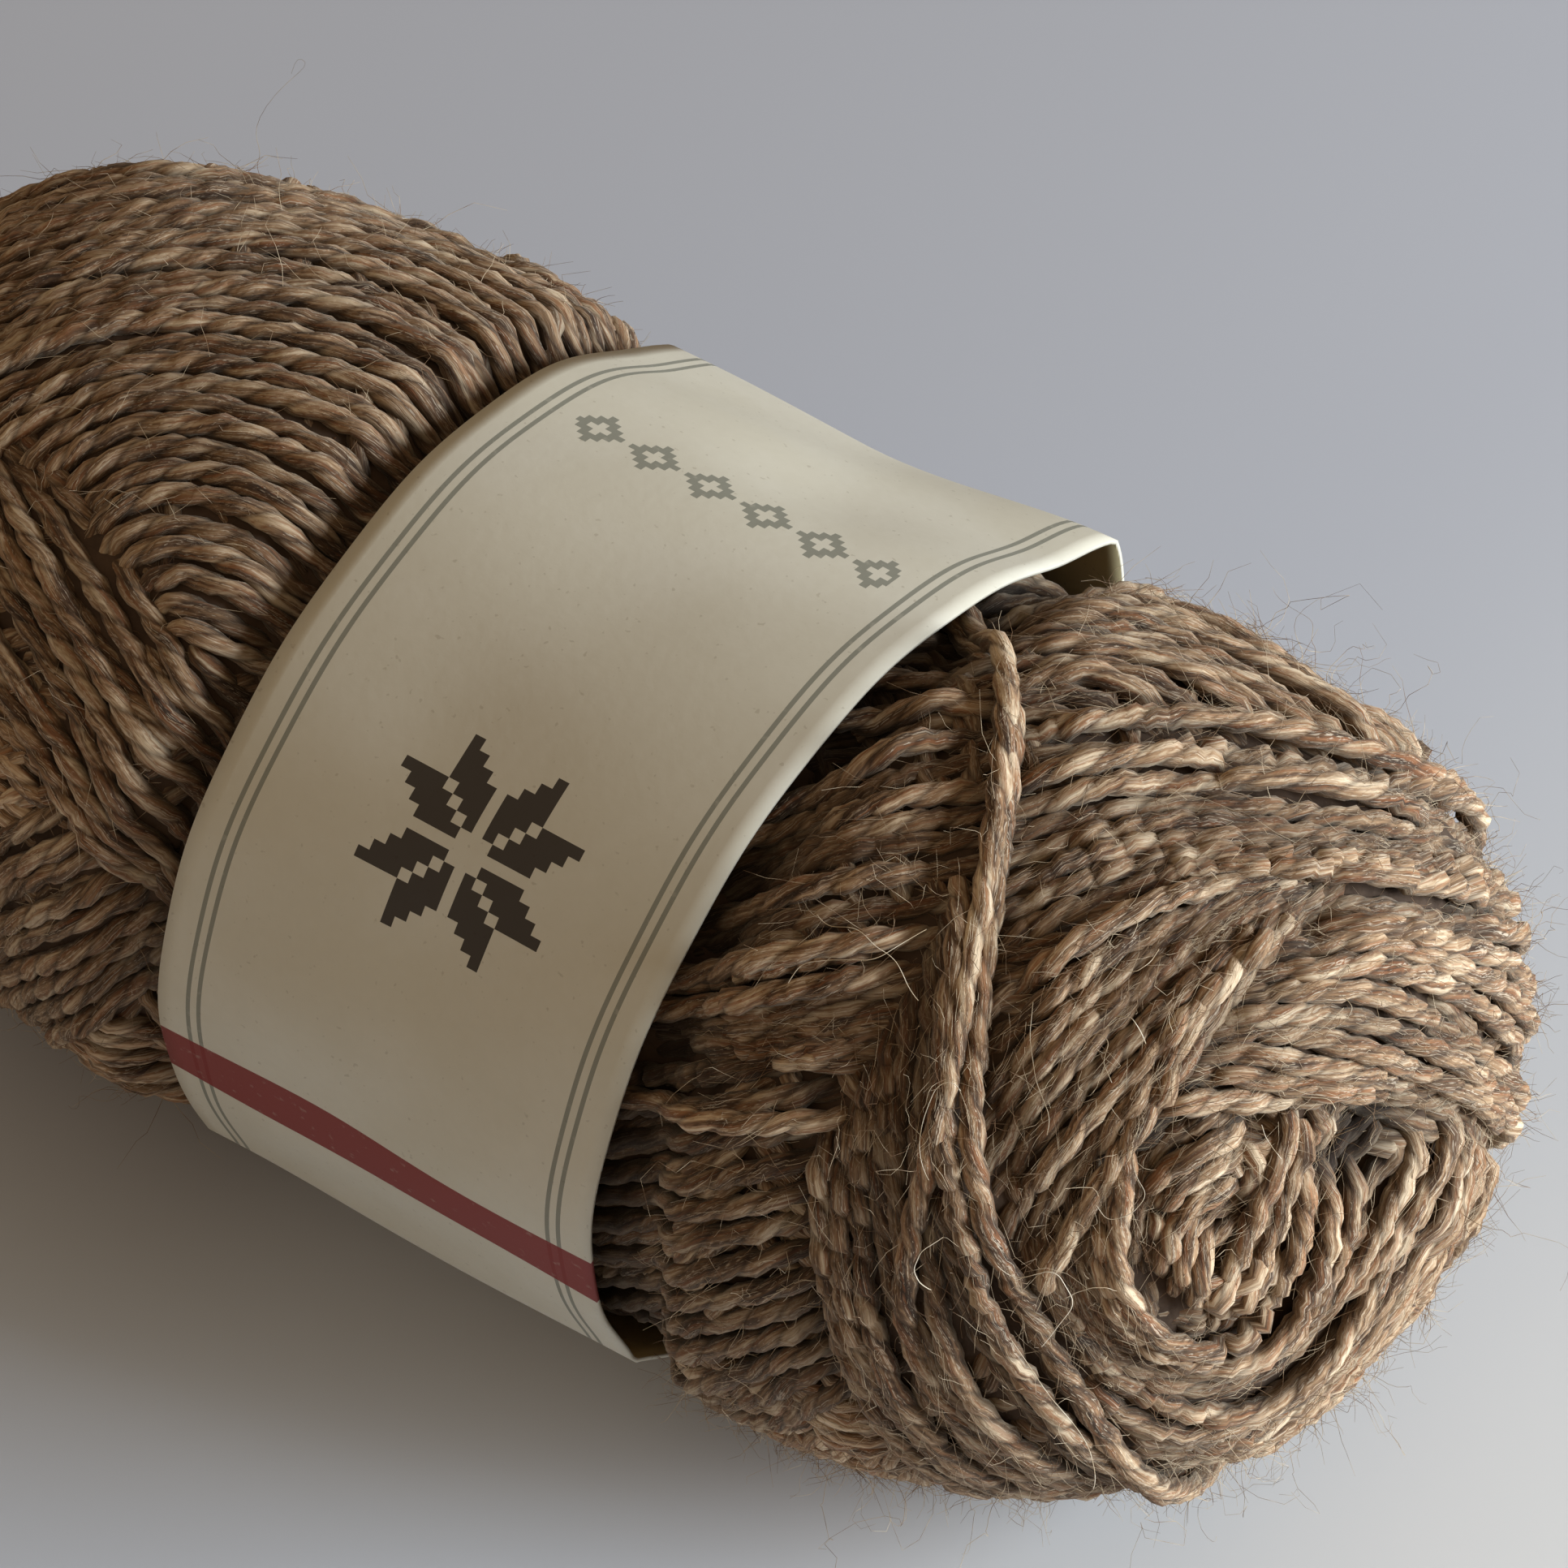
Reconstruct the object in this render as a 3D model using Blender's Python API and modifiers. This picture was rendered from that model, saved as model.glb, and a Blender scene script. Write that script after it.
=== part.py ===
# A machine-wound ball of two-ply wool, lying on its side, with a strip of paper round its middle.
# The ball lies along X, its near end towards +X, and rests on the plane Z = 0. All sizes are in metres.

import math

import bmesh
import bpy
import numpy as np

# The ball: a barrel with round shoulders, |x / half length|^p + (r / radius)^q = 1
BALL_HALF_LENGTH = 0.0512
BALL_RADIUS = 0.0248
SHOULDER_POWER = 5.4        # along the axis: the higher, the squarer the shoulders
END_POWER = 2.4             # across the axis
AXIS_HEIGHT = 0.0246        # lower than the radius, so the yarn is pressed flat where it lies
AXIS_X = 0.00005           # these two put the middle of the finished part over the origin
AXIS_Y = -0.00009
NEAR_END_LEAN_Y = 0.0025    # the near end leans a little to one side
NEAR_END_LEAN_Z = 0.0012
LEAN_START = 0.010
PRESSED_HEIGHT = 0.0005     # yarn that would clear the floor by less than this is pressed flat on it

# The winding: its own axis leans across the barrel's, so both end holes sit off the middle
WINDING_LEAN_Y = -0.0106    # how far the winding's pole is moved at the near end
WINDING_LEAN_Z = 0.0053
HALF_TURN_ADVANCE = math.radians(270)   # how far round the ball a strand goes from one end to the other
STRAIGHT_LENGTH = 0.076     # the middle stretch, where that advance is evened out
# each layer of turns: how near the pole it comes, how proud its turns stand, its newest turn, its twists in half a round
LAYERS = (
    dict(turning_radius=0.0040, height=-0.0026, front=math.radians(40), twists=5),
    dict(turning_radius=0.0120, height=-0.0013, front=math.radians(100), twists=7),
    dict(turning_radius=0.0195, height=0.0000, front=math.radians(-16), twists=9),
)
TWIST_HEIGHT = 0.0010
RIDGE_GAIN = 2.2            # how soon a ridge is full height, away from the turning circle
TERRACE_EDGE = 0.0020       # width of the step from one layer down to the next
LAST_TURNS_SPAN = math.radians(42)      # the last few turns lie on top of the rest as one bundle
LAST_TURNS_HEIGHT = 0.0012
HOLE_DEPTH = 0.0036
HOLE_RADIUS = 0.0034

# The paper band, a little askew round the waist
BAND_BACK = -0.0118
BAND_FRONT = 0.0165
BAND_SKEW = 0.0015
BAND_RADIUS = 0.0244
BAND_THICKNESS = 0.0010
CREASE_HEIGHT = 0.0008      # how far the two fold lines stand off
CREASE_ANGLES = (math.radians(33), math.radians(213))
LAP_ANGLE = math.radians(291)
LAP_WIDTH = 0.0090
LAP_STEP = 0.0003
SOFT_GAP = 0.0003           # between the paper and the yarn

# The waist that the band draws in, and the bulge on each side of it
WAIST_MARGIN = 0.0008
WAIST_SLOPE = 0.0026
BULGE_HEIGHT = 0.0003
BULGE_OFFSET = 0.0090
BULGE_WIDTH = 0.0070

BALL_CELLS_ALONG = 48       # the ball starts as a cut-up cube: its cells along X, and on each side across X
BALL_CELLS_ACROSS = 24
BAND_SEGMENTS = 120
BAND_ROWS = 8
TABLE_STEPS = 4000

YARN_COLOUR = (0.235, 0.150, 0.090, 1.0)
PAPER_COLOUR = (0.560, 0.540, 0.470, 1.0)


def smooth_step(value):
    """Rises smoothly from 0 to 1 as value goes from 0 to 1."""
    t = np.clip(value, 0.0, 1.0)
    return t * t * (3.0 - 2.0 * t)


def barrel_radius(x):
    share = np.minimum(np.abs(x) / BALL_HALF_LENGTH, 1.0)
    return BALL_RADIUS * (1.0 - share ** SHOULDER_POWER) ** (1.0 / END_POWER)


def half_meridian():
    """Length along the surface, x and radius, from the equator to the near pole."""
    turn = np.linspace(0.0, 1.0, TABLE_STEPS)
    x = BALL_HALF_LENGTH * np.sin(turn * math.pi / 2) ** (2.0 / SHOULDER_POWER)
    radius = barrel_radius(x)
    length = np.concatenate(([0.0], np.cumsum(np.hypot(np.diff(x), np.diff(radius)))))
    return length, x, radius


def strand_advance(turning_radius):
    """How far round the ball a tight strand has gone at each x, counted from its turn at the near end."""
    length, x, radius = half_meridian()
    turn_length = np.interp(-turning_radius, -radius, length)
    share = np.linspace(0.0, 1.0, TABLE_STEPS)
    along = turn_length * (1.0 - share ** 2)
    here = np.interp(along, length, radius)
    slope = np.sqrt(np.maximum(here ** 2 - turning_radius ** 2, 1e-12))
    rate = 2.0 * turn_length * share * turning_radius / (here * slope)
    rate[0] = rate[1]
    mean_rate = (rate[1:] + rate[:-1]) / 2
    advance = np.concatenate(([0.0], np.cumsum(mean_rate * np.diff(share))))
    near_x = np.interp(along, length, x)
    both_x = np.concatenate((near_x, -near_x[::-1][1:]))
    both = np.concatenate((advance, 2.0 * advance[-1] - advance[::-1][1:]))
    both_along = np.concatenate((along, -along[::-1][1:]))
    straight = np.clip(0.5 - both_along / STRAIGHT_LENGTH, 0.0, 1.0)
    both += (HALF_TURN_ADVANCE - both[-1]) * straight
    return both_x[::-1], both[::-1]


def winding_place(x, y, z):
    """The place on the upright winding that was moved to this point of the leaning one."""
    share = x / BALL_HALF_LENGTH
    upright_y = y - WINDING_LEAN_Y * share
    upright_z = z - WINDING_LEAN_Z * share
    angle = np.arctan2(upright_z, upright_y)
    across = np.hypot(upright_y, upright_z)
    scale = np.ones_like(x)
    for _ in range(25):
        along_term = (np.abs(x) * scale / BALL_HALF_LENGTH) ** SHOULDER_POWER
        across_term = (across * scale / BALL_RADIUS) ** END_POWER
        slope = (SHOULDER_POWER * along_term + END_POWER * across_term) / scale
        scale -= (along_term + across_term - 1.0) / slope
    return x * scale, angle


def twist_profile(age, twists):
    """Round ridges, one for each main twist."""
    return 0.5 - 0.5 * np.cos(2.0 * age * twists)


def winding_relief(x, y, z):
    """How far the winding stands out from the barrel, from its layers, twists, last turns and end holes."""
    upright_x, angle = winding_place(x, y, z)
    upright_radius = barrel_radius(upright_x)
    relief = np.full_like(x, LAYERS[0]["height"])
    for layer in LAYERS:
        table_x, table_advance = strand_advance(layer["turning_radius"])
        advance = np.interp(upright_x, table_x, table_advance)
        rising_age = np.mod(angle - advance - layer["front"], math.pi)
        falling_age = np.mod(angle + advance - layer["front"], math.pi)
        newest = np.minimum(rising_age, falling_age)
        # the turns close up towards the circle where they turn back, and the ridges die away there
        parted = np.clip(1.0 - (layer["turning_radius"] / np.maximum(upright_radius, 1e-6)) ** 2, 0.0, 1.0)
        ridges = twist_profile(newest, layer["twists"]) * np.minimum(RIDGE_GAIN * parted, 1.0)
        here = layer["height"] + TWIST_HEIGHT * ridges
        covered = smooth_step((upright_radius - layer["turning_radius"]) / TERRACE_EDGE)
        relief = relief + (here - relief) * covered
    last_share = falling_age / LAST_TURNS_SPAN
    bundle = np.sqrt(np.maximum(1.0 - (2.0 * last_share - 1.0) ** 2, 0.0)) * (falling_age < rising_age)
    relief = relief + LAST_TURNS_HEIGHT * bundle * covered * (upright_x > 0)
    hole = HOLE_DEPTH * np.exp(-(upright_radius / HOLE_RADIUS) ** 2)
    return relief - hole


def band_share(x, angle):
    """1 under the band, falling to 0 across the slopes at its edges."""
    straight_x = x - BAND_SKEW * np.cos(angle)
    back = (BAND_BACK - WAIST_MARGIN - straight_x) / WAIST_SLOPE
    front = (straight_x - BAND_FRONT - WAIST_MARGIN) / WAIST_SLOPE
    return 1.0 - smooth_step(np.maximum(back, front))


def side_bulge(x, angle):
    straight_x = x - BAND_SKEW * np.cos(angle)
    near = (straight_x - BAND_FRONT - BULGE_OFFSET) / BULGE_WIDTH
    far = (straight_x - BAND_BACK + BULGE_OFFSET) / BULGE_WIDTH
    return BULGE_HEIGHT * (np.exp(-near ** 2) + np.exp(-far ** 2))


def new_material(name, colour, roughness):
    material = bpy.data.materials.new(name)
    material.use_nodes = True
    shader = material.node_tree.nodes["Principled BSDF"]
    shader.inputs["Base Color"].default_value = colour
    shader.inputs["Roughness"].default_value = roughness
    material.diffuse_color = colour
    return material


def add_object(name, shape, collection, material):
    mesh = bpy.data.meshes.new(name)
    shape.to_mesh(mesh)
    shape.free()
    mesh.materials.append(material)
    for face in mesh.polygons:
        face.use_smooth = True
    made = bpy.data.objects.new(name, mesh)
    collection.objects.link(made)
    return made


def vertex_array(shape):
    return np.array([vertex.co for vertex in shape.verts])


def move_vertices(shape, places):
    for vertex, place in zip(shape.verts, places):
        vertex.co = place


def cut_cube():
    """A cube in even cells, fewer across X than along it."""
    shape = bmesh.new()
    bmesh.ops.create_cube(shape, size=2.0)
    for axis, cells in enumerate((BALL_CELLS_ALONG, BALL_CELLS_ACROSS, BALL_CELLS_ACROSS)):
        long_edges = [edge for edge in shape.edges if abs(edge.verts[0].co[axis] - edge.verts[1].co[axis]) > 1.0]
        bmesh.ops.subdivide_edges(shape, edges=long_edges, cuts=cells - 1, use_grid_fill=True)
    return shape


def make_ball(collection, material):
    """The wound yarn: a cut cube blown up to a sphere, pulled out to the barrel, with the winding's relief."""
    shape = cut_cube()
    unit = np.tan(vertex_array(shape) * math.pi / 4)
    unit /= np.linalg.norm(unit, axis=1, keepdims=True)
    length, table_x, table_radius = half_meridian()
    along = (1.0 - 2.0 * np.arccos(np.clip(unit[:, 0], -1.0, 1.0)) / math.pi) * length[-1]
    x = np.sign(along) * np.interp(np.abs(along), length, table_x)
    radius = np.interp(np.abs(along), length, table_radius)
    angle = np.arctan2(unit[:, 2], unit[:, 1])

    along_slope = SHOULDER_POWER * (np.abs(x) / BALL_HALF_LENGTH) ** (SHOULDER_POWER - 1) / BALL_HALF_LENGTH
    across_slope = END_POWER * (radius / BALL_RADIUS) ** (END_POWER - 1) / BALL_RADIUS
    steepness = np.hypot(along_slope, across_slope)
    out_x = np.sign(x) * along_slope / steepness
    out_radius = across_slope / steepness

    waist = band_share(x, angle)
    relief = winding_relief(x, radius * np.cos(angle), radius * np.sin(angle))
    outward = (relief + side_bulge(x, angle)) * (1.0 - waist)
    waist_radius = BAND_RADIUS - BAND_THICKNESS - SOFT_GAP
    x = x + out_x * outward
    radius = radius + out_radius * outward
    radius = radius + (waist_radius - radius) * waist

    lean = np.clip((x - LEAN_START) / (BALL_HALF_LENGTH - LEAN_START), 0.0, None) ** 2
    y = AXIS_Y + radius * np.cos(angle) + NEAR_END_LEAN_Y * lean
    z = AXIS_HEIGHT + radius * np.sin(angle) + NEAR_END_LEAN_Z * lean
    z = np.where(z < PRESSED_HEIGHT, 0.0, z)
    move_vertices(shape, np.column_stack((AXIS_X + x, y, z)))
    return add_object("wound_yarn", shape, collection, material)


def band_radius(angle):
    """Round where the paper hugs the yarn, straight on both sides of each fold, with a step at the lap."""
    reach = math.acos(BAND_RADIUS / (BAND_RADIUS + CREASE_HEIGHT))
    radius = np.full_like(angle, BAND_RADIUS)
    for crease in CREASE_ANGLES:
        away = np.abs(np.mod(angle - crease + math.pi, 2.0 * math.pi) - math.pi)
        radius = np.maximum(radius, BAND_RADIUS / np.cos(np.maximum(reach - away, 0.0)))
    lap_half = LAP_WIDTH / BAND_RADIUS / 2
    from_lap = np.abs(np.mod(angle - LAP_ANGLE + math.pi, 2.0 * math.pi) - math.pi)
    lap = smooth_step((lap_half - from_lap) / (2.0 * math.pi / BAND_SEGMENTS))
    return radius + LAP_STEP * lap


def make_band(collection, material):
    """The paper band: an open tube round X, shaped to its folds and its lap, then given its thickness."""
    shape = bmesh.new()
    bmesh.ops.create_cone(shape, cap_ends=False, segments=BAND_SEGMENTS, radius1=1.0, radius2=1.0, depth=1.0)
    lengthwise = [edge for edge in shape.edges if abs(edge.verts[0].co.z - edge.verts[1].co.z) > 0.5]
    bmesh.ops.subdivide_edges(shape, edges=lengthwise, cuts=BAND_ROWS - 1, use_grid_fill=True)
    unit = vertex_array(shape)
    angle = np.arctan2(unit[:, 1], unit[:, 0])
    middle = (BAND_FRONT + BAND_BACK) / 2
    x = middle + unit[:, 2] * (BAND_FRONT - BAND_BACK) + BAND_SKEW * np.cos(angle)
    radius = band_radius(angle)
    y = AXIS_Y + radius * np.cos(angle)
    z = AXIS_HEIGHT + radius * np.sin(angle)
    move_vertices(shape, np.column_stack((AXIS_X + x, y, z)))
    bmesh.ops.recalc_face_normals(shape, faces=shape.faces)
    band = add_object("paper_band", shape, collection, material)
    wall = band.modifiers.new("paper", "SOLIDIFY")
    wall.thickness = BAND_THICKNESS
    wall.offset = -1.0
    wall.use_even_offset = True
    return band


def main():
    for leftover in list(bpy.data.objects):
        bpy.data.objects.remove(leftover, do_unlink=True)
    collection = bpy.data.collections.new("ball_of_yarn")
    bpy.context.scene.collection.children.link(collection)
    make_ball(collection, new_material("heather_wool", YARN_COLOUR, 0.95))
    make_band(collection, new_material("band_paper", PAPER_COLOUR, 0.70))


main()
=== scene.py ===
# A ball of heathered two-ply wool with a paper band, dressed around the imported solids. Sizes are in metres.
import math

import bpy
import numpy as np
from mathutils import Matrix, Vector


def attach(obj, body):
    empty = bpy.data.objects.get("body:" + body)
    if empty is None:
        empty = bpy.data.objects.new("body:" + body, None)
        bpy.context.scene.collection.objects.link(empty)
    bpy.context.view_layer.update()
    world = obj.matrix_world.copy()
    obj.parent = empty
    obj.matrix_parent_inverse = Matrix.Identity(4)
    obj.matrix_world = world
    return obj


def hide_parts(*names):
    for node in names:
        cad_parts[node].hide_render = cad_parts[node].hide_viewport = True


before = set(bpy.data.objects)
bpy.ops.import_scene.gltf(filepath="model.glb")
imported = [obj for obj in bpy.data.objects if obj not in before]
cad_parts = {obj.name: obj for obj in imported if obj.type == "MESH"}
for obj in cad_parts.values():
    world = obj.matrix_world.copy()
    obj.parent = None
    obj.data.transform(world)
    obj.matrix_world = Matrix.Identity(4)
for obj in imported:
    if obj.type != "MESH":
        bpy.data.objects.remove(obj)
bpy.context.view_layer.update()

degree = math.pi/180
photoSide = 1932      # pixels


# camera, floor and light
camera = dict(azimuth=35.5, elevation=52.5, distance=0.5, target=(0, 0, 0.025), pixelsPerMetre=22400,
              targetPixel=(759.1, 1013.6), sensor=0.036)


def makeCamera(c):
    side, up = c['azimuth']*degree, c['elevation']*degree
    back = Vector((math.sin(side)*math.cos(up), -math.cos(side)*math.cos(up), math.sin(up)))
    rightward = Vector((math.cos(side), math.sin(side), 0))
    upward = back.cross(rightward)
    target = Vector(c['target'])
    middle = photoSide/2
    aim = (target+rightward*(middle-c['targetPixel'][0])/c['pixelsPerMetre']
           + upward*(c['targetPixel'][1]-middle)/c['pixelsPerMetre'])
    data = bpy.data.cameras.new('photoCamera')
    data.sensor_fit = 'HORIZONTAL'
    data.sensor_width = c['sensor']*1000
    data.lens = data.sensor_width*c['pixelsPerMetre']*c['distance']/photoSide
    data.clip_start, data.clip_end = 0.01, 20
    made = bpy.data.objects.new('photoCamera', data)
    made.location = target+back*c['distance']
    made.rotation_euler = (aim-made.location).to_track_quat('-Z', 'Y').to_euler()
    bpy.context.scene.collection.objects.link(made)
    bpy.context.scene.camera = made
    return made


photoCamera = makeCamera(camera)
print('camera set')


# node helpers
class Wire:
    # one output of a node; sums on wires add Math nodes
    def __init__(self, maker, socket):
        self.maker, self.socket = maker, socket

    def calc(self, operation, *values):
        return self.maker.node('ShaderNodeMath', dict(operation=operation), dict(enumerate(values)))

    def __add__(self, other): return self.calc('ADD', self, other)
    def __radd__(self, other): return self.calc('ADD', other, self)
    def __sub__(self, other): return self.calc('SUBTRACT', self, other)
    def __rsub__(self, other): return self.calc('SUBTRACT', other, self)
    def __mul__(self, other): return self.calc('MULTIPLY', self, other)
    def __rmul__(self, other): return self.calc('MULTIPLY', other, self)
    def __truediv__(self, other): return self.calc('DIVIDE', self, other)
    def __gt__(self, other): return self.calc('GREATER_THAN', self, other)
    def __lt__(self, other): return self.calc('LESS_THAN', self, other)

    def most(self, other): return self.calc('MAXIMUM', self, other)
    def least(self, other): return self.calc('MINIMUM', self, other)
    def unsigned(self): return self.calc('ABSOLUTE', self)
    def root(self): return self.calc('SQRT', self)
    def floor(self): return self.calc('FLOOR', self)
    def fraction(self): return self.calc('FRACT', self)

    def ramp(self, low, high):
        return self.maker.node('ShaderNodeMapRange', dict(interpolation_type='SMOOTHSTEP'),
                               {'Value': self, 'From Min': low, 'From Max': high})


class NodeMaker:
    def __init__(self, tree):
        self.tree = tree

    def node(self, kind, settings=None, values=None, out=0):
        made = self.tree.nodes.new(kind)
        for name, value in (settings or {}).items():
            if name == 'stops':
                points = made.color_ramp.elements
                while len(points) < len(value):
                    points.new(0.5)
                for point, (place, tint) in zip(points, value):
                    point.position, point.color = place, tint
            else:
                setattr(made, name, value)
        for name, value in (values or {}).items():
            if isinstance(value, Wire):
                self.tree.links.new(value.socket, made.inputs[name])
            else:
                made.inputs[name].default_value = value
        return Wire(self, made.outputs[out])

    def mix(self, share, first, second):
        # colour inputs of a Mix node are its seventh and eighth, its colour output the third
        settings = dict(data_type='RGBA', blend_type='MIX', clamp_factor=True)
        return self.node('ShaderNodeMix', settings, {0: share, 6: first, 7: second}, out=2)

    def vector(self, operation, first, second, out=0):
        return self.node('ShaderNodeVectorMath', dict(operation=operation), {0: first, 1: second}, out)

    def dot(self, first, second):
        return self.vector('DOT_PRODUCT', first, second, out=1)

    def scaled(self, vector, factor):
        return self.node('ShaderNodeVectorMath', dict(operation='SCALE'), {0: vector, 'Scale': factor})

    def joined(self, x, y, z=0.0):
        return self.node('ShaderNodeCombineXYZ', values={'X': x, 'Y': y, 'Z': z})

    def parts(self, vector):
        first = self.node('ShaderNodeSeparateXYZ', values={0: vector})
        return [Wire(self, socket) for socket in first.socket.node.outputs]

    def noise(self, vector, scale, detail, roughness=0.5, out=0):
        return self.node('ShaderNodeTexNoise', values={'Vector': vector, 'Scale': scale, 'Detail': detail,
                                                       'Roughness': roughness}, out=out)


class Finish(NodeMaker):
    def __init__(self, name):
        self.material = bpy.data.materials.new(name)
        self.material.use_nodes = True
        super().__init__(self.material.node_tree)
        self.shader = self.tree.nodes['Principled BSDF']

    def place(self):
        return self.node('ShaderNodeTexCoord', out=3)

    def attribute(self, name, out):
        return self.node('ShaderNodeAttribute', dict(attribute_name=name), out=out)

    def bump(self, height, strength, distance):
        return self.node('ShaderNodeBump', values={'Strength': strength, 'Distance': distance, 'Height': height})

    def set(self, **values):
        for name, value in values.items():
            socket = self.shader.inputs[name.replace('_', ' ')]
            if isinstance(value, Wire):
                self.tree.links.new(value.socket, socket)
            else:
                socket.default_value = value
        return self.material


def colour(r, g, b):
    # screen colour, 0 to 255, as the shader's own
    def one(v):
        v = v/255
        return v/12.92 if v <= 0.04045 else ((v+0.055)/1.055)**2.4
    return (one(r), one(g), one(b), 1)


def linkNew(name, mesh):
    made = bpy.data.objects.new(name, mesh)
    bpy.context.scene.collection.objects.link(made)
    return made


# floor and lights; the cloth is painted paler to the right and towards the camera: painted light for the window's
# falloff, and painted light that lightens the ball's shadow
cloth = dict(half=3.0, drop=0.0002, patchScale=9.0, patches=0.12, across=(0.98, -0.28, 0), paintedLightFrom=-0.01, paintedLightTo=0.07,
             paintedLightShare=0.90, paintedNearFrom=0.014, paintedNearTo=0.036, paintedNearShare=0.70,
             grey=colour(184, 187, 196), pale=colour(221, 221, 219), near=colour(222, 232, 246))
lights = (dict(name='window', place=(0.430, 0.166, 0.159), size=0.25, power=4.5, tint=(0.82, 0.91, 1.0)),
          dict(name='bounce', place=(-0.2, -0.5, 0.5), size=0.8, power=0.4, tint=(1.0, 0.86, 0.72)))
sky = dict(tint=(1.0, 0.76, 0.50, 1), strength=0.26)
lightAim = (0, 0, 0.02)


def makeFloor(c):
    half = c['half']
    mesh = bpy.data.meshes.new('floor')
    corners = ((-half, -half), (half, -half), (half, half), (-half, half))
    mesh.from_pydata([(x, y, -c['drop']) for x, y in corners], [], [(0, 1, 2, 3)])
    floor = linkNew('floor', mesh)
    f = Finish('pale cloth')
    place = f.place()
    soft = f.noise(place, c['patchScale'], 2.0)
    # painted light: the cloth is coloured paler to the right, where the window lights it most
    across = f.dot(place, c['across']).ramp(c['paintedLightFrom'], c['paintedLightTo'])*c['paintedLightShare']
    # painted light: paler and bluer towards the camera, lightening the ball's shadow there (the near colour)
    paintedLightNear = (-1*f.dot(place, (0, 1, 0))).ramp(c['paintedNearFrom'], c['paintedNearTo'])
    tint = f.mix(soft*c['patches']+across, c['grey'], c['pale'])
    mesh.materials.append(f.set(Base_Color=f.mix(paintedLightNear*c['paintedNearShare'], tint, c['near']), Roughness=0.95))


def makeLight(name, place, size, power, tint):
    data = bpy.data.lights.new(name, 'AREA')
    data.size, data.energy, data.color = size, power, tint
    made = bpy.data.objects.new(name, data)
    made.location = place
    made.rotation_euler = (Vector(lightAim)-Vector(place)).to_track_quat('-Z', 'Y').to_euler()
    bpy.context.scene.collection.objects.link(made)


def makeSky(s):
    world = bpy.data.worlds.new('soft room')
    world.use_nodes = True
    background = world.node_tree.nodes['Background']
    background.inputs['Color'].default_value = s['tint']
    background.inputs['Strength'].default_value = s['strength']
    bpy.context.scene.world = world
    bpy.context.scene.view_settings.view_transform = 'Standard'


makeFloor(cloth)
for light in lights:
    makeLight(**light)
makeSky(sky)
print('floor and light set')


# the ball's own form
ball = dict(halfLength=0.0512, radius=0.0248, shoulderPower=5.4, endPower=2.4, axisHeight=0.0246, axisX=0.00005,
            axisY=-0.00009, leanY=0.0025, leanZ=0.0012, leanStart=0.010)
band = dict(back=-0.0118, front=0.0165, skew=0.0015, radius=0.0244, thickness=0.00025,
            hidden=(-0.0045, 0.0010), cut=(-0.0060, 0.0010))      # inside its edges: where strands stop showing, where they end
waist = dict(radius=0.0240, margin=0.0008, slope=0.0034, bulge=0.0004, bulgeOffset=0.0080, bulgeWidth=0.0060,
             slack=0.0020, slackAngle=182*degree, slackWidth=27*degree, press=0.0007, pressLow=-0.002, pressHigh=0.0002)


def barrelRadius(x):
    share = np.minimum(np.abs(x)/ball['halfLength'], 1)
    return ball['radius']*(1-share**ball['shoulderPower'])**(1/ball['endPower'])


def summed(steps):
    return np.concatenate(([0], np.cumsum(steps)))


def lengthAlong(p):
    return summed(np.linalg.norm(np.diff(p, axis=0), axis=1))


def pointsAt(places, gone, p):
    return np.column_stack([np.interp(places, gone, p[:, j]) for j in range(3)])


def fromAxis(p):
    return np.hypot(p[:, 1], p[:, 2])


def wrapped(x, radius, angle):
    # points at these angles round the ball's axis
    return np.column_stack([np.ravel(v) for v in (x, radius*np.cos(angle), radius*np.sin(angle))])


def unit(v):
    return v/np.linalg.norm(v, axis=-1, keepdims=True)


def bell(distance, wide):
    return np.exp(-(distance/wide)**2)


def bellRound(p, place, wide):
    return np.exp(-((p-place)**2).sum(axis=1)/wide**2)


def smoothStep(v):
    v = np.clip(v, 0, 1)
    return v*v*(3-2*v)


def angleFrom(angle, where):
    return np.mod(angle-where+math.pi, 2*math.pi)-math.pi


def smoothAlong(values, width):
    padded = np.concatenate((np.full(width//2, values[0]), values, np.full(width//2, values[-1])))
    return np.convolve(padded, np.ones(width)/width, 'valid')


def smoothPath(p, width=7):
    return np.column_stack([smoothAlong(p[:, j], width) for j in range(3)])


# length along the surface from the waist to a pole, with its x and radius
tableX = ball['halfLength']*np.sin(np.linspace(0, 1, 4001)*math.pi/2)**(2/ball['shoulderPower'])
tableRadius = barrelRadius(tableX)
tableLength = summed(np.hypot(np.diff(tableX), np.diff(tableRadius)))
poleLength = tableLength[-1]


def skinAt(along):
    x = np.sign(along)*np.interp(np.abs(along), tableLength, tableX)
    return x, np.interp(np.abs(along), tableLength, tableRadius)


def outward(p):
    across = np.maximum(fromAxis(p), 1e-7)
    share = np.abs(p[:, 0])/ball['halfLength']
    along = np.sign(p[:, 0])*ball['shoulderPower']*share**(ball['shoulderPower']-1)/ball['halfLength']
    side = ball['endPower']*(across/ball['radius'])**(ball['endPower']-1)/ball['radius']
    return unit(np.column_stack((along, side*p[:, 1]/across, side*p[:, 2]/across)))


def straightX(p):
    # x along the ball as the band's skewed edges have it
    return p[:, 0]-band['skew']*p[:, 1]/np.maximum(fromAxis(p), 1e-6)


def underBand(p, margin, slope):
    # 1 under the band, falling to 0 beside its edges
    straight = straightX(p)
    return 1-smoothStep(np.maximum(band['back']-margin-straight, straight-band['front']-margin)/slope)


def seat(p):
    # from the barrel's own axis to where the ball lies
    lean = np.clip((p[:, 0]-ball['leanStart'])/(ball['halfLength']-ball['leanStart']), 0, None)**2
    away = (np.full(len(p), ball['axisX']), ball['axisY']+ball['leanY']*lean, ball['axisHeight']+ball['leanZ']*lean)
    return p+np.column_stack(away)


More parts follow.
